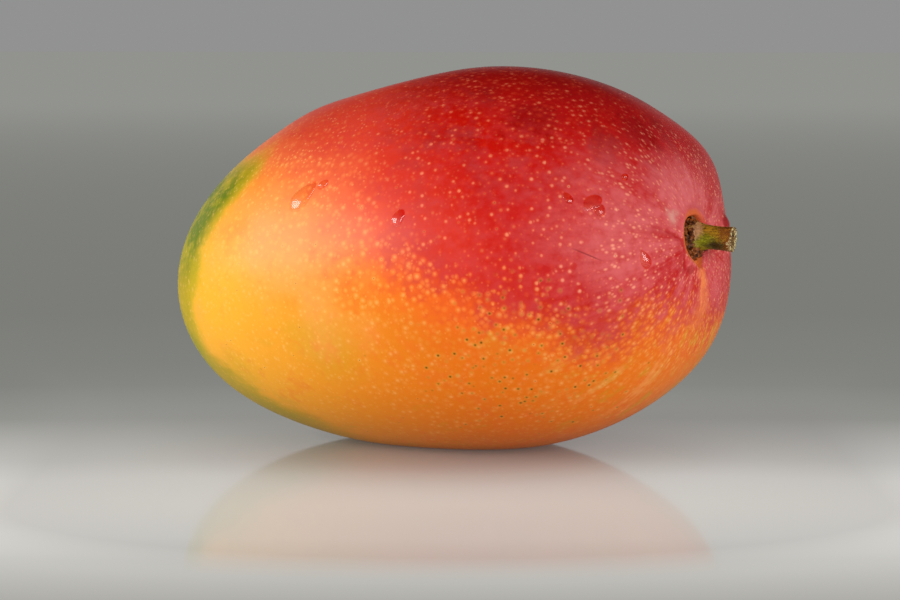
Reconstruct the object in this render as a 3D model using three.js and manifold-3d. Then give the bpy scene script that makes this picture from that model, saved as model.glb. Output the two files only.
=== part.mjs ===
// A whole mango lying on its side, with the stub of its stalk still in place.
// Millimetres. +X runs to the stalk end and +Z is up.
// The origin is on the flat spot that the fruit rests on, below the fruit's middle.

import * as THREE from 'three';
import { mergeVertices } from 'three/addons/utils/BufferGeometryUtils.js';
import Module from 'manifold-3d';

// Fruit: a rounded body, lower than it is wide, and fuller at the stalk end than at the tip.
const HALF_LENGTH = 64.8;
const HALF_WIDTH = 50;
const HALF_HEIGHT = 44;
const FULLNESS = 2.14; // 2 is an ellipsoid, and more gives squarer shoulders
const WIDER_TO_STALK = 0.05; // share of the width that the stalk end gains
const TALLER_TO_STALK = 0.1; // share of the height that the stalk end gains
const STALK_END_RISE = 4.2; // the stalk end stands this much above the middle, the tip as much below
const ENDS_DROOP = 2.2; // the middle arches up from the ends by this much
const ENDS_SWEEP = 3; // the middle bows to +Y from the ends by this much
const MIDDLE_ABOVE_REST = 41.4; // the body's lowest millimetre is pressed flat at this depth
const SKIN_TURNS = 72; // faces in each ring around the stalk
const SKIN_RINGS = 40; // rings of faces from the stalk to the tip
const RING_CROWDING = 0.6; // 0 spreads the rings evenly, and 1 packs them at the stalk

// Pit and disc: a pit in the skin, and the dried ring of tissue that fills it to the foot of the stalk.
const PIT_SPOT = new THREE.Vector3(0.979, -0.135, 0.121).normalize(); // seen from the fruit's middle
const PIT_GAP = 0.3; // clearance between the disc and the pit
const PIT_LIP = 0.7; // how far the pit's edge flares out where it meets the skin
const PIT_SIDES = 36;
const DISC_RADIUS = 4.3;
const DISC_DEPTH = 3;
const DISC_RIM = -1.6; // height of the disc's edge, from the skin
const DISC_CROWN = -0.7; // height of the disc where it meets the stalk

// Stalk: a stub that leaves the disc a little off its centre, and its cut end.
const STALK_SPOT = new THREE.Vector3(0.979, -0.115, 0.129).normalize(); // seen from the fruit's middle
const STALK_WAY = new THREE.Vector3(0.994, 0.078, -0.078).normalize();
const STALK_LENGTH = 7.9; // from the skin to the cut end
const STALK_FOOT_RADIUS = 3.1;
const STALK_END_RADIUS = 2.65;
const STALK_BEVEL = 0.25;
const STALK_SIDES = 24;

// Faint swells of the skin: the way each lies from the fruit's middle, how far it spreads, its height.
const SWELLS = [
  swell(0.12, 0, 1, 0.3, 0.4), // crown
  swell(-0.2, 0, 0.98, 0.13, -1.6), // saddle in the back
  swell(-0.47, -0.16, 0.87, 0.1, 0.5), // back of the tip
  swell(-0.71, -0.37, -0.6, 0.2, 0.4), // below the tip
  swell(0.59, 0.33, 0.74, 0.15, 0.7), // back of the shoulder
  swell(0.8, 0.37, 0.45, 0.16, 2.6), // upper shoulder
  swell(0.88, 0.42, 0.2, 0.1, -0.5), // hollow below the upper shoulder
  swell(0.85, 0.53, 0, 0.32, 1.7), // far shoulder
  swell(0.84, 0.35, -0.42, 0.23, 1.7), // lower shoulder
  swell(...PIT_SPOT, 0.12, -0.6), // dip round the stalk
];

// Finish: ripe skin with a waxy sheen, and dull green-brown stalk.
const SKIN = { color: 0xd4571e, roughness: 0.4, metalness: 0 };
const BARK = { color: 0x75702c, roughness: 0.75, metalness: 0 };

const LATHE_AXIS = new THREE.Vector3(0, 1, 0);

const wasm = await Module();
wasm.setup();

function swell(x, y, z, spread, height) {
  return { toward: new THREE.Vector3(x, y, z).normalize(), spread, height };
}

// Point of the skin in one direction from the fruit's middle.
function skinPoint(direction) {
  const { x: u, y: v, z: w } = direction;
  const girth = (v * v + w * w) ** (FULLNESS / 2);
  const reach = (Math.abs(u) ** FULLNESS + girth) ** (-1 / FULLNESS);
  const along = u * reach;
  const bow = 1 / 3 - along * along;
  const point = new THREE.Vector3(
    HALF_LENGTH * along,
    HALF_WIDTH * v * reach * (1 + WIDER_TO_STALK * along) + ENDS_SWEEP * bow,
    HALF_HEIGHT * w * reach * (1 + TALLER_TO_STALK * along) + STALK_END_RISE * along + ENDS_DROOP * bow,
  );
  for (const { toward, spread, height } of SWELLS) {
    const nearness = Math.exp((direction.dot(toward) - 1) / spread ** 2);
    point.addScaledVector(direction, height * nearness);
  }
  point.z = Math.max(point.z, -MIDDLE_ABOVE_REST);
  return point;
}

// Way the skin faces, from three points of it that lie close together.
function skinNormal(direction) {
  const nudge = 0.01;
  const side = new THREE.Vector3(0, 0, 1).cross(direction).setLength(nudge);
  const rise = direction.clone().cross(side);
  const here = skinPoint(direction);
  const beside = skinPoint(direction.clone().add(side).normalize()).sub(here);
  const above = skinPoint(direction.clone().add(rise).normalize()).sub(here);
  return beside.cross(above).normalize();
}

function withoutSeams(geometry) {
  geometry.deleteAttribute('normal');
  geometry.deleteAttribute('uv');
  return mergeVertices(geometry);
}

function toSolid(geometry) {
  const closed = withoutSeams(geometry);
  const vertProperties = new Float32Array(closed.getAttribute('position').array);
  const triVerts = new Uint32Array(closed.getIndex().array);
  return new wasm.Manifold(new wasm.Mesh({ numProp: 3, vertProperties, triVerts }));
}

function toGeometry(solid) {
  const { vertProperties, triVerts } = solid.getMesh();
  const geometry = new THREE.BufferGeometry();
  geometry.setAttribute('position', new THREE.BufferAttribute(vertProperties, 3));
  geometry.setIndex(new THREE.BufferAttribute(triVerts, 1));
  geometry.computeVertexNormals();
  return geometry;
}

// Solid turned from a profile of [radius, height] pairs, set on one spot of the skin and pointing one way.
function turnedOnSkin(profile, sides, spot, way) {
  const points = profile.map(([radius, height]) => new THREE.Vector2(radius, height));
  const geometry = new THREE.LatheGeometry(points, sides);
  geometry.applyQuaternion(new THREE.Quaternion().setFromUnitVectors(LATHE_AXIS, way));
  geometry.translate(...skinPoint(spot));
  return toSolid(geometry);
}

// The whole round body. Its rings of faces run around the stalk and are finest there.
function fruitBody() {
  const geometry = withoutSeams(new THREE.SphereGeometry(1, SKIN_TURNS, SKIN_RINGS));
  const position = geometry.getAttribute('position');
  const toStalk = new THREE.Quaternion().setFromUnitVectors(LATHE_AXIS, PIT_SPOT);
  const direction = new THREE.Vector3();
  const place = new THREE.Spherical();
  for (let index = 0; index < position.count; index += 1) {
    place.setFromVector3(direction.fromBufferAttribute(position, index));
    place.phi -= RING_CROWDING * Math.sin(place.phi);
    direction.setFromSpherical(place).applyQuaternion(toStalk);
    position.setXYZ(index, ...skinPoint(direction));
  }
  return toSolid(geometry);
}

// The disc's shape with its clearance all round, open to the outside through a flared lip.
function stalkPit() {
  const floor = -DISC_DEPTH - PIT_GAP;
  const radius = DISC_RADIUS + PIT_GAP;
  const outside = 2 * PIT_LIP;
  const profile = [
    [0, floor],
    [radius, floor],
    [radius, -PIT_LIP],
    [radius + PIT_LIP, 0],
    [radius + PIT_LIP, outside],
    [0, outside],
  ];
  return turnedOnSkin(profile, PIT_SIDES, PIT_SPOT, skinNormal(PIT_SPOT));
}

function driedDisc() {
  const profile = [
    [0, -DISC_DEPTH],
    [DISC_RADIUS, -DISC_DEPTH],
    [DISC_RADIUS, DISC_RIM],
    [STALK_FOOT_RADIUS, DISC_CROWN],
    [0, DISC_CROWN],
  ];
  return turnedOnSkin(profile, PIT_SIDES, PIT_SPOT, skinNormal(PIT_SPOT));
}

// The stub starts inside the disc and thins evenly to its cut end.
function stalkStub() {
  const root = (DISC_RIM - DISC_DEPTH) / 2;
  const profile = [
    [0, root],
    [STALK_FOOT_RADIUS, root],
    [STALK_END_RADIUS, STALK_LENGTH - STALK_BEVEL],
    [STALK_END_RADIUS - STALK_BEVEL, STALK_LENGTH],
    [0, STALK_LENGTH],
  ];
  return turnedOnSkin(profile, STALK_SIDES, STALK_SPOT, STALK_WAY);
}

function piece(name, solid, finish) {
  const mesh = new THREE.Mesh(toGeometry(solid), new THREE.MeshStandardMaterial(finish));
  mesh.name = name;
  return mesh;
}

const mango = new THREE.Group();
mango.add(piece('fruit', fruitBody().subtract(stalkPit()), SKIN));
mango.add(piece('stalk', stalkStub().add(driedDisc()), BARK));
mango.position.z = MIDDLE_ABOVE_REST;

const group = new THREE.Group();
group.add(mango);

export default group;
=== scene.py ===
import functools
import math
import random

import bmesh
import bpy
import numpy as np
from mathutils import Matrix, Vector, noise


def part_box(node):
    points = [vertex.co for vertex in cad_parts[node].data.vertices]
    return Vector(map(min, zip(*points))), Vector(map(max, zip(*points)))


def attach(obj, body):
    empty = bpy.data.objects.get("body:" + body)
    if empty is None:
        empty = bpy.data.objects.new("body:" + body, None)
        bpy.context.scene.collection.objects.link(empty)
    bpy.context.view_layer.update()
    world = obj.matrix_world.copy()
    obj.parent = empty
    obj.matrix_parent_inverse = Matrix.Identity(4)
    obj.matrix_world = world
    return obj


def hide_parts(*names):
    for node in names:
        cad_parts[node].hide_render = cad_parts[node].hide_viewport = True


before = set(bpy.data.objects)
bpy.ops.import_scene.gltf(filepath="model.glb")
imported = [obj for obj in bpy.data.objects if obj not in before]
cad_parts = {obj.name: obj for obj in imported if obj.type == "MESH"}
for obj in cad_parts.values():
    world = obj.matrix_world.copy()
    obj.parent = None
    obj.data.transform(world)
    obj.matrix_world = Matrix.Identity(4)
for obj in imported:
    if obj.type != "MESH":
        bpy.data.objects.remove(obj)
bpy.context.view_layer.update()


# The fruit's body. Skin and flesh grew as one piece, so it is one closed mesh: a rounded body, lower
# than it is wide and fuller at the stalk end, with its underside pressed flat by its own weight.
# Its rings of faces run round the pit at the stalk end and on to the tip, and are closest at the pit.
mm = 0.001
rest_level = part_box("fruit")[0][2] / mm  # the height of the flat spot it rests on
half_length, half_width, half_height = 64.8, 50, 44
fullness = 2.14  # 2 is an ellipsoid, and more gives squarer shoulders
wider_to_stalk, taller_to_stalk = 0.05, 0.10
stalk_end_rise, ends_droop, ends_sweep = 4.2, 2.2, 3
middle_above_rest, press_softness = 41.4, 0.5
swells = (  # the way each lies from the middle, its spread and its height
    ((0.12, 0, 1), 0.30, 0.4),  # crown
    ((0.59, 0.33, 0.74), 0.15, 0.7),  # back of the shoulder
    ((0.8, 0.37, 0.45), 0.16, 2.6),  # upper shoulder
    ((0.88, 0.42, 0.2), 0.10, -0.5),  # hollow below the upper shoulder
    ((0.85, 0.53, 0), 0.32, 1.7),  # far shoulder
    ((0.84, 0.35, -0.42), 0.23, 1.7),  # lower shoulder
    ((-0.2, 0, 0.98), 0.13, -1.6),  # saddle in the back
    ((-0.47, -0.16, 0.87), 0.10, 0.5),  # back of the tip
    ((-0.71, -0.37, -0.6), 0.2, 0.4),  # below the tip
    ((0.979, -0.135, 0.121), 0.12, -0.6),  # dip round the stalk
    ((0.962, 0.222, 0.157), 0.03, 1.0),  # low bump on the far side of the stalk
)


def unit(vectors):
    vectors = np.asarray(vectors, float)
    return vectors / np.linalg.norm(vectors, axis=-1, keepdims=True)


def round_body(ways):
    """Points of the skin, in mm from the fruit's middle, in the directions given."""
    u, v, w = ways.T
    reach = (abs(u) ** fullness + (v * v + w * w) ** (fullness / 2)) ** (-1 / fullness)
    along = u * reach
    bow = 1 / 3 - along**2
    x = half_length * along
    y = half_width * v * reach * (1 + wider_to_stalk * along) + ends_sweep * bow
    z = half_height * w * reach * (1 + taller_to_stalk * along)
    z = z + stalk_end_rise * along + ends_droop * bow
    points = np.column_stack((x, y, z))
    for toward, spread, height in swells:
        nearness = np.exp((ways @ unit(toward) - 1) / spread**2)
        points += height * nearness[:, None] * ways
    height = points[:, 2] + middle_above_rest
    points[:, 2] = (height + np.hypot(height, press_softness)) / 2 - middle_above_rest
    return points


pit_way = unit((0.979, -0.135, 0.121))
pit_across = unit(np.cross((0, 0, 1), pit_way))
pit_up = np.cross(pit_way, pit_across)
nearby = unit([pit_way, pit_way + 0.01 * pit_across, pit_way + 0.01 * pit_up])
pit_mouth, beside, above = round_body(nearby)
pit_axis = unit(np.cross(beside - pit_mouth, above - pit_mouth))
pit_side = unit(np.cross((0, 0, 1), pit_axis))
pit_top = np.cross(pit_axis, pit_side)
pit_radius, pit_wall, pit_depth = 4.3, 1.1, 3.0
notch_reach, notch_width, notch_turn, notch_depth = 1.8, 0.38, 0.27, 1.2  # a nick at the pit's foot
crease_side, crease_bend, crease_depth = -5.7, 1.4, 0.22  # a fold of skin that runs down beside the pit


def skin(ways):
    """The finished skin: the round body with the pit sunk into it."""
    points = round_body(ways)
    away = points - pit_mouth
    side, up = away @ pit_side, away @ pit_top
    spread = np.hypot(side, up)
    turn = np.arctan2(side, -up)
    edge = pit_radius + 0.14 * np.sin(5 * turn + 1) - 0.35 * np.exp(-(((turn + 1.2) / 0.6) ** 2))
    edge -= 1.0 * np.exp(-(((turn - 1.25) / 0.55) ** 2))
    nick = edge + notch_reach * np.exp(-(((turn - notch_turn) / notch_width) ** 2))
    sunk, nicked = (np.clip((reach + pit_wall - spread) / pit_wall, 0, 1) for reach in (edge, nick))
    sunk = np.maximum(pit_depth * sunk**2 * (3 - 2 * sunk), notch_depth * nicked**2 * (3 - 2 * nicked))
    swollen = 0.25 * np.exp(-(((spread - nick - pit_wall - 1) / 0.9) ** 2))
    bend = np.hypot(up - 0.5, 1.1)
    slope = crease_bend * (1 + (up - 0.5) / bend)
    crease_off = (side - crease_side + crease_bend * (up - 0.5 + bend)) / np.hypot(1, slope)
    creased = crease_depth * np.exp(-((crease_off / 0.5) ** 2))
    creased = creased * np.clip((up + 9) / 3, 0, 1) * np.clip((5 - up) / 3, 0, 1)
    near_pit = away @ pit_axis > -12
    return points - ((sunk - swollen + creased) * near_pit)[:, None] * pit_axis


def to_frame(points):
    """Puts points in mm from the fruit's middle into the frame, in metres."""
    return (np.asarray(points) + (0, 0, middle_above_rest + rest_level)) * mm


def add_piece(name, points, faces):
    """A smooth closed piece, its faces all turned outward."""
    mesh = bpy.data.meshes.new(name)
    mesh.from_pydata([tuple(point) for point in points], [], faces)
    shell = bmesh.new()
    shell.from_mesh(mesh)
    bmesh.ops.recalc_face_normals(shell, faces=shell.faces)
    shell.to_mesh(mesh)
    shell.free()
    mesh.polygons.foreach_set("use_smooth", [True] * len(mesh.polygons))
    piece = bpy.data.objects.new(name, mesh)
    bpy.context.scene.collection.objects.link(piece)
    return piece


def closed_rings(ring_count, turn_count):
    """Faces of a closed body: rings of points, then a point in the middle of the first and last ring."""
    faces = []
    for ring in range(ring_count - 1):
        for turn in range(turn_count):
            following = (turn + 1) % turn_count
            here = ring * turn_count
            there = here + turn_count
            faces.append((here + turn, here + following, there + following, there + turn))
    first_middle = ring_count * turn_count
    for middle, start in (first_middle, 0), (first_middle + 1, (ring_count - 1) * turn_count):
        for turn in range(turn_count):
            faces.append((middle, start + turn, start + (turn + 1) % turn_count))
    return faces


turns, rings = 320, 250
crowding = 0.12  # share of even spacing in the rings, which puts the rest at the pit
steps = np.arange(1, rings) / rings
ring_angles = math.pi * (crowding * steps + (1 - crowding) * steps**2.2)
turn_angles = 2 * math.pi * np.arange(turns) / turns
from_pit, round_pit = (grid.ravel() for grid in np.meshgrid(ring_angles, turn_angles, indexing="ij"))
ways = np.outer(np.cos(from_pit), pit_way)
ways += np.outer(np.sin(from_pit) * np.sin(round_pit), pit_across)
ways -= np.outer(np.sin(from_pit) * np.cos(round_pit), pit_up)
ways = np.vstack((ways, pit_way, -pit_way))
fruit = add_piece("mango_fruit", to_frame(skin(ways)), closed_rings(rings - 1, turns))


class Signal:
    """A value, vector or colour on its way through the nodes of a finish."""

    def __init__(self, socket):
        self.socket = socket
        self.tree = socket.id_data

    @classmethod
    def add(cls, tree, kind, settings=None, inputs=None, output=0):
        """Adds a node: its settings first, then the values or links of its sockets."""
        node = tree.nodes.new(kind)
        for name, value in (settings or {}).items():
            if name == "stops":
                ramp = node.color_ramp
                for place, colour in value[1:-1]:
                    ramp.elements.new(place)
                for stop, (place, colour) in zip(ramp.elements, value):
                    stop.position = place
                    stop.color = colour
            else:
                setattr(node, name, value)
        for name, value in (inputs or {}).items():
            if isinstance(value, Signal):
                tree.links.new(value.socket, node.inputs[name])
            else:
                node.inputs[name].default_value = value
        return cls(node.outputs[output])

    def other(self, output):
        """Another output of the node that this signal leaves."""
        return Signal(self.socket.node.outputs[output])

    def into(self, shader, name):
        self.tree.links.new(self.socket, shader.inputs[name])

    def math(self, operation, *others):
        inputs = dict(enumerate((self, *others)))
        return Signal.add(self.tree, "ShaderNodeMath", {"operation": operation}, inputs)

    def __add__(self, other):
        return self.math("ADD", other)

    def __sub__(self, other):
        return self.math("SUBTRACT", other)

    def __mul__(self, other):
        return self.math("MULTIPLY", other)

    def __truediv__(self, other):
        return self.math("DIVIDE", other)

    def __pow__(self, other):
        return self.math("POWER", other)

    def __rsub__(self, other):
        return self * -1 + other

    __radd__ = __add__
    __rmul__ = __mul__

    def most(self, other):
        return self.math("MAXIMUM", other)

    def least(self, other):
        return self.math("MINIMUM", other)

    def step(self, start, end):
        """Goes smoothly from 0 to 1 as the signal goes from start to end, which may be the lower."""
        inputs = {"Value": self, "From Min": start, "From Max": end}
        settings = {"interpolation_type": "SMOOTHSTEP", "clamp": True}
        return Signal.add(self.tree, "ShaderNodeMapRange", settings, inputs)

    def vector(self, operation, *others, output=0):
        inputs = dict(enumerate((self, *others)))
        return Signal.add(self.tree, "ShaderNodeVectorMath", {"operation": operation}, inputs, output)

    def dot(self, way):
        return self.vector("DOT_PRODUCT", tuple(float(part) for part in way), output=1)

    def far_from(self, place):
        return self.vector("DISTANCE", tuple(float(part) for part in place), output=1)


def join(x, y, z):
    """Joins three values into a vector."""
    tree = next(part.tree for part in (x, y, z) if isinstance(part, Signal))
    return Signal.add(tree, "ShaderNodeCombineXYZ", None, {0: x, 1: y, 2: z})


def cloud(place, size, detail=2.0, roughness=0.5):
    """Soft random variation about 0, mostly within 0.25 either way, with patches of the size given."""
    inputs = {"Vector": place, "Scale": 1 / size, "Detail": detail, "Roughness": roughness}
    return Signal.add(place.tree, "ShaderNodeTexNoise", None, inputs) - 0.5


def spots(place, spacing):
    """Distance to the nearest of many scattered points, in spacings, with a random share for each."""
    settings = {"voronoi_dimensions": "3D", "feature": "F1"}
    inputs = {"Vector": place, "Scale": 1 / spacing}
    distance = Signal.add(place.tree, "ShaderNodeTexVoronoi", settings, inputs)
    shares = Signal.add(place.tree, "ShaderNodeSeparateColor", None, {0: distance.other(1)})
    return distance, shares, shares.other(1)


def lay(under, over, share, mode="MIX"):
    """Lays one colour over another by a share from 0 to 1."""
    settings = {"data_type": "RGBA", "blend_type": mode}
    return Signal.add(share.tree, "ShaderNodeMix", settings, {0: share, 6: under, 7: over}, output=2)


def hypotenuse(first, second):
    """How far off a point lies, from how far it lies off in two ways square to each other."""
    return (first * first + second * second).math("SQRT")


def paint(red, green, blue):
    """A colour given from 0 to 255 as on a screen, in the linear light that shaders work in."""
    parts = (part / 255 for part in (red, green, blue))
    return (*(part / 12.92 if part < 0.04 else ((part + 0.055) / 1.055) ** 2.4 for part in parts), 1)


def new_finish(name, constants):
    """A material with its shader's constant sockets set: gives it, its nodes and its shader."""
    material = bpy.data.materials.new(name)
    material.use_nodes = True
    shader = material.node_tree.nodes["Principled BSDF"]
    for socket, value in constants.items():
        shader.inputs[socket].default_value = value
    return material, material.node_tree, shader


def place_in_mm(tree):
    """The place on the object, in mm from the fruit's middle."""
    inputs = {0: Signal.add(tree, "ShaderNodeTexCoord", output=3), 1: (1 / mm,) * 3}
    inputs[2] = (0, 0, -middle_above_rest)
    return Signal.add(tree, "ShaderNodeVectorMath", {"operation": "MULTIPLY_ADD"}, inputs)


def emboss(shader, relief, strength, depth):
    """Raises and sinks the look of a surface by a relief, its depth in mm."""
    inputs = {"Strength": strength, "Distance": depth * mm, "Height": relief}
    Signal.add(relief.tree, "ShaderNodeBump", None, inputs).into(shader, "Normal")


# The skin's colours: the ground from yellow to orange, the reds of the blush, the greens of the tip, the
# dots and pins, the edge of the pit, and what water does to them
yellow = paint(246, 174, 46)
orange = paint(226, 110, 10)
lit_underside_orange = paint(237, 117, 12)
peach_and_highlight = paint(246, 160, 84)
coral = paint(246, 98, 68)
coral_orange = paint(240, 94, 30)
scarlet = paint(220, 62, 42)
red = paint(192, 16, 5)
crimson = paint(184, 20, 22)
rose_and_sheen = paint(210, 80, 80)
maroon_and_shade = paint(138, 10, 12)
leaf_green = paint(86, 114, 0)
yellow_green = paint(150, 146, 4)
olive = paint(186, 164, 20)
moss = paint(148, 146, 14)
bloom_pink = paint(230, 132, 136)
dot_cream = paint(252, 196, 116)
dot_peach = paint(242, 140, 100)
dot_dull = paint(212, 98, 62)
dot_orange = paint(244, 138, 62)
dot_pink = paint(246, 158, 126)
dot_gold = paint(252, 192, 104)
dot_halo = paint(222, 62, 34)
pin_dark = paint(92, 60, 0)
pin_green = paint(170, 140, 20)
rim_orange = paint(206, 96, 36)
rim_tan = paint(196, 96, 44)
rim_brown = paint(120, 62, 20)
streak_orange = paint(244, 136, 64)
fold_shade_red = paint(172, 18, 24)
rubbed_grey = paint(214, 154, 140)
wet_tint = paint(255, 206, 156)
wet_shade = paint(244, 124, 104)

skin_finish, skin_tree, skin_shader = new_finish("mango_skin", {"Specular IOR Level": 0.15})
place = place_in_mm(skin_tree)
parts = Signal.add(skin_tree, "ShaderNodeSeparateXYZ", None, {0: place})
x, y, z = parts, parts.other(1), parts.other(2)

# Where a point lies round the stalk and how far from it, as if on a globe with the stalk at its pole
toward = place.vector("NORMALIZE")
along = toward.dot(pit_way)
across, upward = toward.dot(pit_across), toward.dot(pit_up)
outward = hypotenuse(across, upward).most(0.0001)
across, upward = across / outward, upward / outward
globe_radius = 62
from_stalk = globe_radius * along.math("ARCCOSINE")

broad = cloud(place, 28, 2)
middling = cloud(place, 9, 3)
fine = cloud(place, 2.2, 3, 0.6)
streaks = cloud(join(across * 9, upward * 9, from_stalk / 26), 1, 4, 0.62)
flecks = cloud(join(across * 22, upward * 22, from_stalk / 5), 1, 2)


def blot(spot, size, core, raggedness=0):
    """A soft blot of skin round one place: full within its core and gone at its size, both in mm."""
    return (place.far_from(spot) + raggedness).step(size, core)


# Dots: pores in the skin, round over most of the fruit and drawn out lengthwise round the stalk, with
# fainter and smaller ones between them
dot_spacing, small_spacing = 1.58, 1.1
near_stalk = (from_stalk + 20 * broad).step(40, 26)
round_distance, round_share, round_kind = spots(place, dot_spacing)
crowded = 4.8 * from_stalk ** 0.5
long_place = join(across * crowded, upward * crowded, 0.52 * from_stalk)
long_distance, long_share, long_kind = spots(long_place, 1)
plain = 1 - near_stalk
dot_distance = dot_spacing * round_distance * plain + 1.25 * long_distance * near_stalk
dot_share = round_share * plain + long_share * near_stalk
dot_kind = round_kind * plain + long_kind * near_stalk
dot_radius = (0.27 + 0.26 * dot_share) * (1 - 0.2 * x.step(10, -20))
dot_core = (dot_distance / dot_radius).step(1.25, 0.2)
dot_glow = (dot_distance / dot_radius).step(2.4, 0.6)
dark_dot = dot_kind.step(0.86, 0.9) * dot_distance.step(0.2, 0.08)
small_distance, small_share = spots(place, small_spacing)[:2]
small_dot = (small_spacing * small_distance).step(0.38, 0.1) * small_share.step(0.1, 0.8)

# Blush: red where the sun reached, fading out below and toward the tip
edge_height = 8 - 22 * ((x - 6) / 26).math("TANH") + 0.16 * (y + 40) - 7 * x.step(44, 62) * y.step(-20, 0)
edge_width = 18.5 - 8.5 * ((x - 8) / 22).math("TANH")
ragged = 0.4 + 0.6 * z.step(14, 0)
raggedness = 0.5 * broad + 1.2 * middling + 0.9 * fine + (0.6 + 0.9 * near_stalk) * streaks
raggedness = raggedness - 0.35 * dot_glow - 0.2 * small_dot
blush_depth = (z - edge_height) / edge_width + ragged * raggedness
blush_depth = blush_depth + 0.24 * z.step(24, 32) * x.step(0, -20) * x.step(-44, -30)
blush_depth = blush_depth - 0.25 * x.step(0, -18) * z.step(8, 14) * z.step(28, 20)
blush_depth = blush_depth + 0.5 * blot((48.5, -30, -15), 13, 3, 14 * middling + 10 * streaks)
blush = blush_depth.step(-0.6, 0.75)
flush = 0.68 * blush_depth.step(-1.1, 0.0) * (1 - 0.35 * x.step(30, 50))

# Ground colour, from yellow at the tip to orange at the stalk end, with a brighter orange low on the
# underside that is painted light
ripeness = (x + 0.6 * z.most(0) + 12 * broad + 14 * middling).step(-48, 30)
ground = lay(yellow, lay(orange, lit_underside_orange, z.step(-8, -26)), ripeness)
ground = lay(ground, olive, 0.5 * (broad + 0.6 * middling + streaks).step(0.05, 0.4) * z.step(8, -14))
for spot, size in ((-10, -45, -14), 14), ((-36, -33, -24), 9), ((30, -43.5, -12), 5):
    ground = lay(ground, olive, 0.3 * blot(spot, size, 0.2 * size, 12 * middling + 6 * streaks))
warm = lay(coral, coral_orange, z.step(14, -4))
warmed = (middling + 0.6 * broad + 0.6 * fine).step(-0.02, -0.25)
ground = lay(ground, warm, 0.28 * warmed * x.step(-50, -25))
brushed = x.step(28, 52) * z.step(-2, -14)
ground = lay(ground, peach_and_highlight, 0.5 * brushed * (streaks + 0.5 * fine).step(0.0, 0.2))
ground = lay(ground, olive, 0.45 * brushed * (streaks + 0.8 * middling).step(-0.02, -0.2))
# A pale peach patch on the left flank, where the left light's highlight falls: partly the skin's own tone,
# partly painted highlight
ground = lay(ground, peach_and_highlight, 0.5 * blot((-18, -43, 13), 30, 8, 60 * broad + 30 * middling))
reds = lay(red, crimson, (from_stalk + 60 * broad).step(60, 18))
reds = lay(reds, scarlet, 0.9 * (x + 0.8 * z + 20 * broad).step(48, 14) * (0.45 + 0.55 * z.step(-2, 16)))
# Maroon over the red, heaviest toward the top and in blots high on the shoulders: partly the blush's own
# deeper red, partly painted shade where the top turns away from the lights
reds = lay(reds, maroon_and_shade, 0.55 * (z + 10 * middling + 10 * broad).step(32, 43) * x.step(-20, 10))
deep = (1.2 * middling + broad + 0.4 * streaks + 0.4 * fine).step(-0.02, 0.3) * x.step(-12, 16)
reds = lay(reds, maroon_and_shade, 0.55 * deep * (0.3 + 0.7 * z.step(14, 32)))
for spot, size in ((51, -11, 32), 8), ((32, -28, 35), 9):
    reds = lay(reds, maroon_and_shade, 0.6 * blot(spot, size, 0.3 * size, 16 * middling + 8 * fine))
# A rose veil over the red, thickest toward the stalk: partly the skin's waxy veil, partly painted sheen,
# with blots of it where the right light's highlight falls. Veil and bloom are thinner on a patch at the top
# of the far shoulder, so the red shows darker there.
far_shoulder_patch = blot((59.6, 13, 24), 18, 8, 16 * middling + 10 * streaks)
veiled = (from_stalk + 30 * broad).step(58, 14) * (0.45 + 0.55 * (z + 20 * broad).step(38, 20))
veil_and_sheen = 0.14 + 0.36 * veiled + (1.9 * fine + middling + 1.6 * streaks) * (0.5 + 0.5 * veiled)
veil_and_sheen = veil_and_sheen + 0.9 * flecks * from_stalk.step(56, 30)
veil_and_sheen = veil_and_sheen + 0.4 * blot((65, -3, -2), 9, 4, 8 * streaks)
veil_and_sheen = veil_and_sheen + 0.3 * blot((55, -29, 6), 15, 4, 12 * middling + 12 * streaks)
veil_and_sheen = veil_and_sheen + 0.3 * blot((49.5, -29, 21), 13, 4, 12 * middling + 12 * streaks)
veil_and_sheen = veil_and_sheen - 0.4 * blot((60.5, -19, 3), 8, 3, 8 * middling)
veil_and_sheen = veil_and_sheen - 0.8 * blot((51, -11, 32), 9, 4, 10 * middling)
veil_and_sheen = veil_and_sheen * (z + 0.35 * x).step(51, 39)
veil_and_sheen = veil_and_sheen.most(0).least(1) * (0.5 + 0.5 * x.step(-20, 10))
reds = lay(reds, rose_and_sheen, 0.8 * veil_and_sheen * (1 - 0.9 * far_shoulder_patch))
colour = lay(ground, warm, flush)
colour = lay(colour, reds, blush)

# Green at the tip, where the fruit ripened last
tip_way = unit((-1, 0, 0.09))  # the fruit's other end from the stalk
greenness = toward.dot(tip_way) + 0.07 * middling + 0.04 * fine + 0.05 * streaks + 0.11 * z.step(8, 24)
unevenly = y.step(-22, -6) + y.step(-28, -38) * z.step(6, -4)
greenness = greenness + (0.16 * broad + 0.06 * middling) * unevenly
top_edge = z + 8 * middling + 0.5 * (y + 10).most(0) + 16 * broad * y.step(-20, 0)
green = greenness.step(0.78, 0.845) * (0.3 + 0.7 * (z + 10 * broad).step(-8, 8)) * top_edge.step(27, 16)
green = green * (1 - 0.4 * greenness.step(0.95, 1.05))
colour = lay(colour, olive, 0.8 * greenness.step(0.74, 0.82) * top_edge.step(30, 21))
underside = z + 0.5 * (x.most(-60) - y - 30) + 14 * middling + 6 * broad + 3 * fine + 8 * streaks
colour = lay(colour, moss, 0.7 * underside.step(-40, -50) * x.step(-8, -32))
yellowness = 0.5 * fine + middling + 0.8 * broad + 0.4 * streaks - 0.1 * z.step(-4, 10)
green_tone = lay(leaf_green, yellow_green, yellowness.step(-0.16, 0.12))
colour = lay(colour, green_tone, 0.92 * green)

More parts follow.
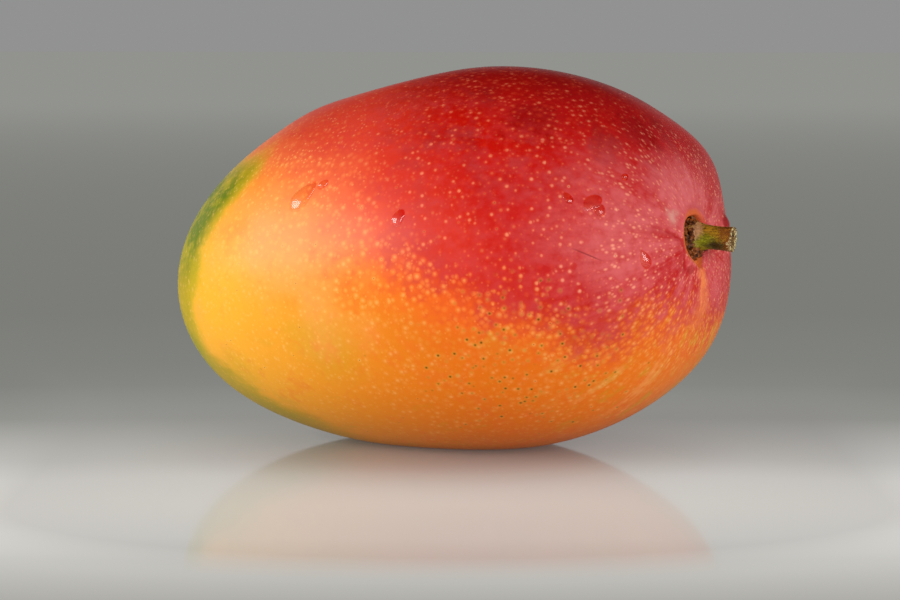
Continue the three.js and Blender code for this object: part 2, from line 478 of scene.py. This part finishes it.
# Bloom: the wax that greys the red near the stalk
dusty = blot((60.5, -9.7, 20.2), 12, 4, 8 * middling + 6 * streaks)
bloom = from_stalk.step(44, 6) * (0.14 + 0.6 * streaks + 0.6 * middling + 0.4 * fine) + 0.2 * broad
bloom = (bloom + 0.3 * dusty) * (1 - 0.7 * far_shoulder_patch)
bloom = bloom.most(0).least(0.5) * z.step(-16, 2) * z.step(38, 20)
colour = lay(colour, bloom_pink, bloom * blush)

# The dots' colours
pale = 0.38 + 0.62 * blush
colour = lay(colour, lay(dot_gold, dot_halo, blush), dot_glow * (0.1 + 0.2 * blush * plain))
upper_left = x.step(15, -15) * z.step(4, 20)
small_strength = (0.5 + 0.3 * upper_left) * (0.35 + 0.35 * blush + 0.3 * x.step(0, -30))
small_colour = lay(dot_gold, lay(dot_dull, dot_peach, upper_left), blush)
colour = lay(colour, small_colour, small_strength * small_dot)
bold = (0.7 + 0.35 * z.step(36, 14)) * (1 - 0.5 * dusty)
dot_strength = dot_core * (0.25 + 0.5 * dot_share) * pale * bold * (1 - 0.6 * green)
dot_colour = lay(lay(dot_peach, dot_orange, z.step(14, -4)), dot_dull, dot_kind.step(0.6, 0.72))
dot_colour = lay(dot_cream, dot_colour, (1.6 * blush).least(1))
dot_colour = lay(dot_colour, dot_pink, (1.4 * blush).least(1) * from_stalk.step(50, 34))
colour = lay(colour, dot_colour, dot_strength)
colour = lay(colour, pin_dark, 0.6 * dark_dot)

# Dark pinpoints, thickest low on the sunny side
pin_spacing = 1.75
pin_distance, pin_share = spots(place, pin_spacing)[:2]
pin_distance = pin_spacing * pin_distance
pin_zone = 0.85 * blot((37, -36, -19), 30, 6, 30 * broad) + 0.08 * z.step(20, -10)
pinned = (pin_share - 1 + pin_zone).step(0, 0.25)
pins = pin_distance.step(0.4, 0.08) * pinned
colour = lay(colour, dot_cream, 0.07 * pin_distance.step(1.0, 0.5) * pinned)
colour = lay(colour, pin_green, 0.42 * pin_distance.step(0.75, 0.2) * pinned * (1 - 0.6 * blush))
colour = lay(colour, pin_dark, 0.9 * pins)

# The pit's edge: a margin of orange-brown skin, and brown walls
from_mouth = place.vector("SUBTRACT", tuple(pit_mouth))
mouth_side, mouth_up = from_mouth.dot(pit_side), from_mouth.dot(pit_top)
mouth_reach = hypotenuse(mouth_side, mouth_up)
sunk_depth = from_mouth.dot(-pit_axis)
round_mouth = along.step(0.8, 0.9)
margin = (mouth_reach + 4 * middling + 2 * fine).step(6.4, 5.1) * round_mouth
margin = margin * (0.55 + 0.9 * (mouth_up - mouth_side) / mouth_reach).most(0).least(1)
colour = lay(colour, rim_orange, 0.85 * margin)
colour = lay(colour, rim_brown, 0.5 * margin * (fine + middling).step(0.02, 0.2))
near_wall = (mouth_reach + 0.8 * fine).step(6.1, 5.6) * (mouth_side + 0.5 * mouth_up).step(1.5, -1.5)
colour = lay(colour, rim_tan, 0.85 * near_wall * round_mouth)
in_pit = mouth_reach.step(8, 7) * round_mouth
colour = lay(colour, rim_orange, 0.9 * sunk_depth.step(0.45, 0.9) * in_pit)
colour = lay(colour, rim_brown, (sunk_depth + 0.8 * fine).step(1.0, 2.0) * in_pit)

# An orange streak below the nick, and painted shade in the fold beside the pit: darker along its line and
# on one side of it
below = (-6 - mouth_up).most(0)
streak_side = mouth_side - 0.3 - below * (0.7 - 0.042 * below) + 4 * streaks
streak_width = 1.3 + 0.16 * below + 3 * fine
streak_share = (streak_side.math("ABSOLUTE") / streak_width).step(1.7, 0.0) * mouth_up.step(-4.5, -5.5)
streak_share = streak_share * mouth_up.step(-28, -14)
streak_share = streak_share * (0.75 + 1.6 * fine + 1.6 * streaks).least(1)
colour = lay(colour, streak_orange, 0.8 * streak_share * along.step(0.5, 0.8) * blush)
bend = ((mouth_up - 0.5) ** 2 + 1.2) ** 0.5
slope = crease_bend * (1 + (mouth_up - 0.5) / bend)
crease_off = mouth_side - crease_side + crease_bend * (mouth_up - 0.5 + bend)
crease_off = crease_off / (slope * slope + 1) ** 0.5
crease_shade = (crease_off.math("ABSOLUTE") + 0.8 * fine).step(0.8, 0.15)
fold_side_shade = (crease_off + 3 * middling).step(-3.5, -0.2) * crease_off.step(0.3, -0.2)
fold_ends = mouth_up.step(-9, -6) * mouth_up.step(5.5, 1.5) * round_mouth
colour = lay(colour, fold_shade_red, fold_ends * (0.75 * crease_shade).most(0.4 * fold_side_shade))
# Painted shade in two maroon blots: one low beside the pit, one in the fold of skin behind the stalk
for spot, size, share in ((63.7, -12.5, 1.8), 1.6, 0.4), ((64.8, 10.3, 11), 3.6, 0.9):
    colour = lay(colour, maroon_and_shade, share * blot(spot, size, 0.5 * size, 3 * fine))
colour = lay(colour, red, 0.75 * blot((46.3, -38.4, 4), 0.9, 0.5, 1.5 * fine))

# A rubbed grey patch in the bloom, and a hairline scratch
colour = lay(colour, rubbed_grey, 0.7 * blot((60.6, -17.1, 13.6), 3.2, 1.0, 5 * fine + 5 * middling))
scratch_start, scratch_end = np.array((45.4, -38.8, 8.0)), np.array((52.3, -33.7, 4.4))
scratch_run = place.vector("SUBTRACT", tuple(scratch_start)).dot(unit(scratch_end - scratch_start))
scratch_off = place.far_from(scratch_start) ** 2 - scratch_run * scratch_run
scratch = scratch_off.step(0.05, 0.01) * scratch_run.step(0, 3) * scratch_run.step(8.6, 5.5)
colour = lay(colour, maroon_and_shade, 0.75 * scratch)

# Wet skin: darker, deeper in colour and shiny under each drop of water, with painted shade darker still
# toward each drop's side away from the left light. A drop has its way from the fruit's middle, length,
# width, lean from level, height, taper toward its tail, and unevenness.
drops = (
    ("a", (-0.248, -0.872, 0.421), 8.2, 4.4, 57, 0.85, 0.34, 0.12),
    ("b", (-0.177, -0.864, 0.471), 2.9, 2.1, 38, 0.70, 0.10, 0.15),
    ("c", (0.139, -0.950, 0.282), 3.8, 2.6, 62, 0.62, 0.15, 0.40),
    ("d", (0.732, -0.609, 0.305), 4.4, 3.0, 25, 0.03, 0.10, 0.55),
    ("e", (0.663, -0.673, 0.328), 2.8, 1.7, 120, 0.35, 0.20, 0.35),
    ("f", (0.881, -0.471, 0.046), 4.2, 2.6, 118, 0.75, 0.30, 0.15),
    ("g", (0.796, -0.447, 0.407), 2.0, 1.5, 30, 0.60, 0.10, 0.30),
    ("h", (0.754, -0.599, 0.269), 2.7, 2.4, 60, 0.60, 0.15, 0.20),
)


def drop_seat(way, lean):
    """Where a drop sits: its middle, the ways along and across it, and how they follow the skin."""
    way = unit(way)
    level = unit(np.cross((0, 0, 1), way))
    rise = np.cross(way, level)
    middle, beside, above = round_body(unit([way, way + 0.01 * level, way + 0.01 * rise]))
    slopes = np.column_stack((beside - middle, above - middle)) / 0.01
    out = unit(np.cross(slopes[:, 0], slopes[:, 1]))
    flat_level = unit(np.cross((0, 0, 1), out))
    flat_rise = np.cross(out, flat_level)
    lengthwise = math.cos(math.radians(lean)) * flat_level + math.sin(math.radians(lean)) * flat_rise
    crosswise = np.cross(out, lengthwise)
    turns_to = np.linalg.pinv(slopes) @ np.column_stack((lengthwise, crosswise))
    return middle, out, flat_level, lengthwise, crosswise, np.vstack((level, rise)).T @ turns_to


wet_patches, shaded_patches = [], []
for name, way, length, width, lean, height, taper, unevenness in drops:
    middle, out, level, lengthwise, crosswise, turns_to = drop_seat(way, lean)
    from_drop = place.vector("SUBTRACT", tuple(middle))
    off_long = from_drop.dot(lengthwise) / (length / 2)
    off_cross = from_drop.dot(crosswise) / (width / 2) / (1 - taper * off_long.least(1))
    under_drop = hypotenuse(off_long, off_cross).step(1.15, 0.95) * from_drop.dot(out).step(-3, -2)
    wet_patches.append(under_drop)
    # Painted shade: the skin under a drop darkens toward the drop's side away from the left light
    shaded_patches.append(under_drop * (0.55 + from_drop.dot(level) / width).least(1))
wet, shade = (functools.reduce(Signal.most, patches) for patches in (wet_patches, shaded_patches))
colour = lay(colour, wet_tint, wet * (0.35 + 0.65 * blush), "MULTIPLY")
colour = lay(colour, wet_shade, shade.most(0) * blush, "MULTIPLY")
colour.into(skin_shader, "Base Color")

rough = 0.36 + 0.25 * bloom + 0.06 * middling + 0.1 * dot_core
rough = rough + 0.2 * sunk_depth.step(0.3, 1.5) * in_pit
(rough * (1 - 0.5 * wet)).into(skin_shader, "Roughness")
relief = 0.5 * dot_core + 0.35 * fine + 0.3 * flecks * near_stalk - 0.6 * pins
emboss(skin_shader, relief, 0.25, 0.12)
fruit.data.materials.append(skin_finish)
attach(fruit, "root")
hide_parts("fruit")


# Stalk stub. The woody end of the stem that the fruit hung from: green bark with brown patches, swollen
# at its foot and cut across at its end, where the pale dry wood shows. It grew out of the pit.
stalk_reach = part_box("stalk")[1][0] / mm  # how far along the fruit's length the stub goes
stalk_way = unit((0.994, 0.078, -0.078))
stalk_foot = round_body(unit([(0.979, -0.115, 0.129)]))[0]
stalk_side = unit(np.cross((0, 0, 1), stalk_way))
stalk_top = np.cross(stalk_way, stalk_side)
stalk_length = (stalk_reach - stalk_foot[0]) / stalk_way[0]
stub_root, stub_radius, foot_flare = -2.6, 2.6, 0.5
bark_turns, bark_rings, end_rings = 120, 90, 18


def lumps(points, size, seed=0):
    """Soft random values about 0 at each point, with lumps of the size given."""
    shift = Vector((seed, 2.7 * seed, -seed))
    return np.array([noise.noise(Vector(point) / size + shift) for point in points])


def bell(values, middle, spread):
    return np.exp(-(((values - middle) / spread) ** 2))


bark_along = np.linspace(stub_root, stalk_length, bark_rings)
end_reach = np.linspace(1, 0, end_rings + 1)[1:-1]
along_grid = np.concatenate((bark_along, np.full(len(end_reach), stalk_length)))
reach_grid = np.concatenate((np.ones(bark_rings), end_reach))
turn_grid = 2 * math.pi * np.arange(bark_turns) / bark_turns  # from underneath round by the near side
along_stub, round_stub = (grid.ravel() for grid in np.meshgrid(along_grid, turn_grid, indexing="ij"))
reach_stub = np.repeat(reach_grid, bark_turns)
spokes = -np.outer(np.cos(round_stub), stalk_top) - np.outer(np.sin(round_stub), stalk_side)
bark_radius = stub_radius + foot_flare * bell(along_stub, -0.6, 1.9)
bark_radius += 0.42 * bell(along_stub, 0.9, 1.5) * bell(round_stub, 0.95, 0.7)
bark_radius -= 0.34 * bell(along_stub, 4.1, 1.0) * bell(round_stub, 0.9, 0.45)
bark_radius -= 0.20 * bell(along_stub, 2.4, 1.8) * bell(round_stub, 2.05 - 0.08 * along_stub, 0.16)
bark_radius += 0.05 * np.sin(5 * round_stub + 0.3 * along_stub)
bark_radius += 0.04 * np.sin(9 * round_stub - 0.5 * along_stub)
bark_radius += 0.12 * bell(along_stub, stalk_length - 0.3, 0.4)
stub_points = along_stub[:, None] * stalk_way + (bark_radius * reach_stub)[:, None] * spokes
bark_bumps = 0.16 * lumps(stub_points, 1.6, 3) + 0.09 * lumps(stub_points, 0.55, 4)
stub_points += (bark_bumps * (reach_stub == 1))[:, None] * spokes
inside = (1 - reach_stub) * stub_radius
hole = np.hypot(stub_points @ stalk_top - 1.3, stub_points @ stalk_side + 0.5)
end_sink = 0.30 * np.clip(inside / 0.5, 0, 1) + 0.9 * bell(hole, 0, 0.42)
torn = 0.35 * lumps(stub_points, 0.7, 8) + 0.2 * lumps(stub_points, 0.3, 9)
end_sink += np.clip(inside / 0.3, 0, 1) * torn
end_sink += 0.18 * np.clip(lumps(stub_points, 1.1, 12), 0, 1) * (along_stub == stalk_length)
stub_points -= (end_sink * (along_stub == stalk_length))[:, None] * stalk_way
stub_points = np.vstack((stub_points, stub_root * stalk_way, (stalk_length - 0.4) * stalk_way))
stub_faces = closed_rings(len(along_grid), bark_turns)
stub = add_piece("stalk_stub", to_frame(stub_points + stalk_foot), stub_faces)

bark_olive = paint(150, 124, 16)
bark_ochre = paint(166, 116, 14)
bark_green = paint(126, 128, 2)
bark_pale_and_highlight = paint(184, 170, 76)
bark_rosy = paint(200, 142, 102)
bark_russet = paint(128, 66, 8)
bark_rust = paint(104, 36, 8)
bark_wet_and_hole_shade = paint(38, 30, 12)
bark_vein = paint(84, 60, 10)
wood_cream = paint(226, 208, 150)
wood_brown = paint(92, 60, 28)
stub_finish, stub_tree, stub_shader = new_finish("mango_stalk", {"Specular IOR Level": 0.2})
place = place_in_mm(stub_tree)
from_foot = place.vector("SUBTRACT", tuple(stalk_foot))
along = from_foot.dot(stalk_way)
height, near_side = from_foot.dot(stalk_top), from_foot.dot(-stalk_side)
grain = cloud(join(along * 0.35, height, near_side), 0.7, 4, 0.65)
mottle = cloud(place, 1.5, 3, 0.6)
grit = cloud(place, 0.35, 2, 0.6)


def patch(along_middle, along_spread, height_middle, height_spread):
    """A soft patch of bark round one place along the stub and one height on it."""
    off_along = (along - along_middle) / along_spread
    off_height = (height - height_middle) / height_spread
    return (hypotenuse(off_along, off_height) + 1.4 * mottle + 0.8 * grain).step(1.5, 0.3)


bark = lay(bark_olive, bark_ochre, (0.5 * height + 1.6 * grain).step(-0.4, 0.9))
vein = cloud(join(along * 0.22, height * 1.1, near_side * 1.1), 0.9, 2)
vein = vein.math("ABSOLUTE").step(0.035, 0.005)
bark = lay(bark, bark_green, 0.85 * patch(1.9, 2.3, -0.6, 1.6))
bark = lay(bark, bark_vein, 0.6 * vein * height.step(-1.6, 0.4))
# A pale yellow-green patch low on the swollen foot: partly the bark's own colour, partly painted highlight
bark = lay(bark, bark_pale_and_highlight, 0.8 * patch(-0.1, 0.9, -1.6, 1.2))
bark = lay(bark, bark_rosy, 0.85 * patch(0.0, 1.6, 1.4, 1.9))
bark = lay(bark, bark_russet, 0.85 * (along + 2.2 * mottle + 0.35 * height + 1.5 * grit).step(5.0, 6.4))
bark = lay(bark, bark_ochre, 0.6 * (grit + mottle).step(-0.04, -0.2) * along.step(4.6, 6))
bark = lay(bark, bark_rust, 0.7 * (grit + 0.7 * grain).step(0.03, 0.2) * along.step(4.0, 5.6))
wet = patch(4.6, 2.2, -1.6, 1.3)
bark = lay(bark, bark_wet_and_hole_shade, 0.9 * wet)
bark = lay(bark, wood_brown, 0.5 * grit.step(0.08, 0.25))
flaking = (along + 2.4 * mottle + 2.2 * grit - 0.25 * height).step(7.6, 8.1)
bark = lay(bark, wood_cream, 0.75 * flaking * grit.step(-0.1, 0.06))
cut_face = along.step(stalk_length - 0.55, stalk_length - 0.25)
cut_grain = 1.6 * grit + 0.9 * mottle + cloud(place, 0.8)
cut_grain = cut_grain + 0.3 * hypotenuse(height, near_side).step(2.4, 1.4)
cut_wood = lay(wood_cream, wood_brown, cut_grain.step(-0.18, 0.12))
bark = lay(bark, cut_wood, 0.92 * cut_face)
# Painted shade: the hole sunk in the cut end is darkened to the colour of wet bark
hole_off = place.far_from(stalk_foot + stalk_length * stalk_way + 1.3 * stalk_top - 0.5 * stalk_side)
bark = lay(bark, bark_wet_and_hole_shade, hole_off.step(0.95, 0.55))
bark.into(stub_shader, "Base Color")
(0.6 - 0.42 * wet + 0.5 * grain + 0.2 * cut_face).into(stub_shader, "Roughness")
emboss(stub_shader, grain + 0.8 * grit - 0.25 * vein, 0.8, 0.4)
stub.data.materials.append(stub_finish)
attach(stub, "root")
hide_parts("stalk")


# Dried crumbs. Sap and torn tissue that dried to dark lumps round the foot of the stalk: they fill
# most of the pit and stick to its floor. They are one piece, a crust with lumps stuck to it.
crumbs = random.Random(5)
bed_depth, bed_foot, crumb_count = 1.5, 2.6, 90
bed_turns, bed_rings = 90, 26
bed_reach = np.linspace(0, pit_radius + 0.4, bed_rings + 1)[1:]
bed_turn = 2 * math.pi * np.arange(bed_turns) / bed_turns
reach_bed, turn_bed = (grid.ravel() for grid in np.meshgrid(bed_reach, bed_turn, indexing="ij"))
bed_side, bed_up = reach_bed * np.sin(turn_bed), -reach_bed * np.cos(turn_bed)
bed_flat = pit_mouth + np.outer(bed_side, pit_side) + np.outer(bed_up, pit_top)
stub_off = stalk_foot - pit_mouth
stub_off_side, stub_off_up = stub_off @ pit_side, stub_off @ pit_top


def heap(side, up):
    """How much higher the crumbs lie against the stub than at the pit's wall."""
    return 1.1 * bell(np.hypot(side - stub_off_side, up - stub_off_up) - stub_radius, 0, 1.0)


def round_slab(top, under, top_middle, under_middle, ring_count, turn_count):
    """Points and faces of a closed round slab, both its layers given as rings from the middle outward."""
    inward = np.arange(len(under)).reshape(ring_count, turn_count)[::-1].ravel()
    points = np.vstack((top, under[inward], top_middle, under_middle))
    return points, closed_rings(2 * ring_count, turn_count)


bed_top = -bed_depth + 0.9 * lumps(bed_flat, 1.1, 21) + 0.4 * lumps(bed_flat, 0.45, 22)
bed_top = (bed_top + heap(bed_side, bed_up))[:, None] * pit_axis
bed_under = -bed_foot * pit_axis
bed_points, crumb_faces = round_slab(
    bed_flat + bed_top,
    bed_flat + bed_under,
    pit_mouth - bed_depth * pit_axis,
    pit_mouth + bed_under,
    bed_rings,
    bed_turns,
)
crumb_points = [bed_points]
ball = bmesh.new()
bmesh.ops.create_icosphere(ball, subdivisions=3, radius=1)
ball_points = np.array([vert.co[:] for vert in ball.verts])
ball_faces = [tuple(vert.index for vert in face.verts) for face in ball.faces]
ball.free()
count = len(bed_points)
for crumb in range(crumb_count):
    turn = crumbs.uniform(-math.pi, math.pi)
    reach = crumbs.uniform(1.5, pit_radius - 1.0 * math.exp(-(((turn - 1.25) / 0.55) ** 2)))
    side, up = reach * math.sin(turn), -reach * math.cos(turn)
    size = crumbs.uniform(0.45, 1.1) * crumbs.uniform(0.8, 1.15)
    height = crumbs.uniform(-1.4, -0.7) + heap(side, up)
    if math.hypot(side - stub_off_side, up - stub_off_up) < stub_radius:
        continue
    spin = Matrix.Rotation(crumbs.uniform(0, 6.3), 3, "Z")
    tumble = Matrix.Rotation(crumbs.uniform(0, 6.3), 3, "X")
    stretch = np.array((size, size * crumbs.uniform(0.6, 0.9), size * crumbs.uniform(0.5, 0.8)))
    bumpy = 1 + 0.9 * lumps(ball_points, 0.9, 30 + crumb) + 0.3 * lumps(ball_points, 0.35, crumb)
    lump = (ball_points * bumpy[:, None] * stretch) @ np.array(spin @ tumble)
    lump += pit_mouth + side * pit_side + up * pit_top + height * pit_axis
    crumb_points.append(lump)
    crumb_faces += [tuple(count + corner for corner in face) for face in ball_faces]
    count += len(lump)
crust = add_piece("dried_crumbs", to_frame(np.vstack(crumb_points)), crumb_faces)

crust_dark = paint(60, 25, 0)
crust_brown = paint(138, 70, 14)
crust_tan_and_glint = paint(206, 152, 104)
crust_amber_and_glint = paint(186, 92, 18)
crust_finish, crust_tree, crust_shader = new_finish("mango_dried_sap", {"Specular IOR Level": 0.3})
place = place_in_mm(crust_tree)
lump_tone = cloud(place, 1.2, 2)
lump_grit = cloud(place, 0.4, 3, 0.6)
# Dark brown lumps with amber and pale tan flecks laid at random: partly the crumbs' own tones, partly
# painted glints
crust_colour = lay(crust_dark, crust_brown, (lump_tone + 0.6 * lump_grit).step(-0.16, 0.16))
crust_colour = lay(crust_colour, crust_amber_and_glint, 0.7 * cloud(place, 2.2).step(0.02, 0.16))
crust_colour = lay(crust_colour, crust_tan_and_glint, 0.6 * (lump_grit + 0.5 * lump_tone).step(0.1, 0.26))
crust_colour.into(crust_shader, "Base Color")
(0.6 + 0.8 * lump_grit).into(crust_shader, "Roughness")
emboss(crust_shader, lump_grit, 0.5, 0.1)
crust.data.materials.append(crust_finish)
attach(crust, "root")


# Water drops. Clear beads left from rinsing, one piece each. They cling to the waxy skin and follow
# its curve, round at the lower end and often drawn out to a tail where they ran down.
drop_turns, drop_rings = 48, 14
film, drop_root = 0.015, 0.12  # how thick a drop is at its very rim, and how far it goes into the skin
# Light goes straight through a drop. A faint mirror lies over it, stronger where it is seen edge on.
water_look = {"Base Color": (1, 1, 1, 1), "Metallic": 1, "Roughness": 0.2}
water_finish, water_tree, water_shader = new_finish("water", water_look)
place = place_in_mm(water_tree)
clear = Signal.add(water_tree, "ShaderNodeBsdfTransparent")
shine = Signal.add(water_tree, "ShaderNodeFresnel", None, {"IOR": 1.45})
shine = (shine + 0.02 * cloud(place, 0.8)).most(0.05).least(0.12)


def mix_surface(share, first, second):
    """Makes a surface of two shaders, by a share from 0 to 1 of the second."""
    mixed = Signal.add(share.tree, "ShaderNodeMixShader", None, {0: share, 1: first, 2: second})
    mixed.into(share.tree.nodes["Material Output"], "Surface")


mix_surface(shine, clear, Signal(water_shader.outputs[0]))
for name, way, length, width, lean, height, taper, unevenness in drops:
    middle, out, level, lengthwise, crosswise, turns_to = drop_seat(way, lean)
    turn = 2 * math.pi * np.arange(drop_turns) / drop_turns
    rim = 1 + unevenness * np.array([
        noise.noise(Vector((math.cos(angle), math.sin(angle), 1.37 * ord(name) + 0.5))) for angle in turn
    ])
    rim_length = length / 2 * np.cos(turn) * rim
    rim_width = width / 2 * np.sin(turn) * (1 - taper * np.cos(turn)) * rim
    reach = np.sin(np.linspace(0, math.pi / 2, drop_rings + 1))[1:]
    off_middle = np.column_stack([np.outer(reach, edge).ravel() for edge in (rim_length, rim_width)])
    seat = skin(unit(unit(way) + off_middle @ turns_to.T))
    dome = np.repeat((1 - np.minimum(reach, 1) ** 2) ** 0.55, drop_turns)
    lift = height * dome * (1 - 0.35 * np.tile(np.cos(turn), drop_rings) * np.repeat(reach, drop_turns))
    points, faces = round_slab(
        seat + (lift + film)[:, None] * out,
        seat - drop_root * out,
        middle + (height + film) * out,
        middle - drop_root * out,
        drop_rings,
        drop_turns,
    )
    drop = add_piece("water_drop_" + name, to_frame(points), faces)
    drop.data.materials.append(water_finish)
    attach(drop, "root")


# Camera. It looks from a little above level at the fruit's side, turned somewhat toward the stalk end,
# through a long lens that hardly foreshortens the shape.
scene = bpy.context.scene
view_azimuth, view_height = math.radians(24), math.radians(4.5)
view_distance, aim_below, aim_right = 650, 8.2, 0.3
toward_camera = np.array((
    math.sin(view_azimuth) * math.cos(view_height),
    -math.cos(view_azimuth) * math.cos(view_height),
    math.sin(view_height),
))
view_right = np.array((math.cos(view_azimuth), math.sin(view_azimuth), 0))
view_up = np.cross(toward_camera, view_right)
camera_data = bpy.data.cameras.new("camera")
camera_data.lens = 111.8
camera = bpy.data.objects.new("camera", camera_data)
scene.collection.objects.link(camera)
eye = Vector(to_frame(view_distance * toward_camera))
aim = Vector(to_frame(aim_right * view_right - aim_below * view_up))
camera.location = eye
camera.rotation_euler = (aim - eye).to_track_quat("-Z", "Y").to_euler()
scene.camera = camera


# Floor. One wide sheet of pale polished plastic that the fruit rests on and is faintly mirrored in.
# Its colour is darker close round the fruit, as painted shade. Away from the fruit its grey is a painted
# glow of its own, though the sheet is no lamp: a painted pool of light, brightest before the fruit's
# reddest side. The pool is fixed to the sheet, wherever the sheet is seen from.
floor_reach = 30
floor_corners = [(-floor_reach, -floor_reach, 0), (floor_reach, -floor_reach, 0),
                 (floor_reach, floor_reach, 0), (-floor_reach, floor_reach, 0)]
floor = add_piece("floor", floor_corners, [(0, 1, 2, 3)])
floor_finish, floor_tree, floor_shader = new_finish("floor_sheet", {"Roughness": 0.08, "IOR": 1.4})
floor_place = Signal.add(floor_tree, "ShaderNodeTexCoord", output=3)
from_fruit = floor_place.far_from((0, 0, 0))
# Painted shade: the sheet's colour is darker close round the fruit
floor_grey_and_shade = lay(paint(164, 161, 154), paint(190, 189, 184), from_fruit.step(0.03, 0.09))
floor_grey_and_shade.into(floor_shader, "Base Color")
pool_turn, pool_distance, pool_fade = math.radians(24), 0.09, 0.4
steep_ahead, steep_aside = 0.997, 0.3  # how fast the pool fades away from the fruit, and to its sides
pool_way = steep_ahead * np.array((math.sin(pool_turn), -math.cos(pool_turn), 0))
pool_ahead = floor_place.dot(pool_way) - pool_distance
pool_aside = steep_aside * floor_place.dot((math.cos(pool_turn), math.sin(pool_turn), 0))
pool_reach = hypotenuse(pool_ahead, pool_aside)
# Painted pool of light: the sheet's own glow, palest before the fruit and greyer farther off
painted_pool_stops = [(0, paint(246, 241, 232)), (0.1, paint(228, 226, 220)), (0.16, paint(200, 199, 194)),
              (0.24, paint(177, 176, 171)), (0.33, paint(146, 146, 141)), (0.5, paint(130, 131, 126)),
              (1, paint(124, 125, 120))]
painted_pool_grey = Signal.add(floor_tree, "ShaderNodeValToRGB", {"stops": painted_pool_stops}, {0: pool_reach / pool_fade})
painted_pool_grey = lay(painted_pool_grey, paint(146, 147, 142), pool_reach.step(pool_fade, 4))
glow = Signal.add(floor_tree, "ShaderNodeEmission", None, {"Color": painted_pool_grey})
glow_share = 0.1 + 0.36 * from_fruit.step(0.022, 0.08) + 0.54 * pool_reach.step(0.12, 0.27)
pool_front = hypotenuse(pool_ahead.most(0), 2.2 * pool_aside)
glow_share = glow_share.most(pool_front.step(0.035, 0.085))
mix_surface(glow_share, Signal(floor_shader.outputs[0]), glow)
floor.data.materials.append(floor_finish)


# Lights. Two soft boxes, a bright one to the left and a weaker one to the right, in a dim grey room.
# A third, low behind the fruit, only lifts its far side, and nothing mirrors it.
def soft_box(name, way, distance, width, height, power, mirrored=True):
    """A flat light that faces the fruit's middle, from a distance in metres, its power in watts."""
    light = bpy.data.lights.new(name, "AREA")
    light.shape = "RECTANGLE"
    light.size, light.size_y, light.energy = width, height, power
    box = bpy.data.objects.new(name, light)
    box.visible_camera = False
    box.visible_glossy = mirrored
    scene.collection.objects.link(box)
    box.location = Vector(to_frame((0, 0, 0))) + distance * Vector(way).normalized()
    box.rotation_euler = (-Vector(way)).to_track_quat("-Z", "Y").to_euler()


soft_box("soft_box_left", (-0.72, -0.65, 0.28), 1.0, 1.0, 0.5, 11.8)
soft_box("soft_box_right", (0.93, -0.42, 0.23), 1.0, 1.0, 0.6, 9.2)
soft_box("soft_box_back", (-0.2, 0.93, 0.06), 1.6, 1.4, 0.8, 6.0, mirrored=False)

world = bpy.data.worlds.new("studio")
world.use_nodes = True
scene.world = world
room_tree = world.node_tree
room_way = Signal.add(room_tree, "ShaderNodeTexCoord", output=0)
room_height = Signal.add(room_tree, "ShaderNodeSeparateXYZ", None, {0: room_way}).other(2)
low, bright, high = (paint(*(grey,) * 3) for grey in (146, 185, 24))
room = lay(low, bright, room_height.step(0.10, 0.17))
room = lay(room, high, room_height.step(0.2, 0.35))
room.into(room_tree.nodes["Background"], "Color")
scene.view_settings.view_transform = "Standard"
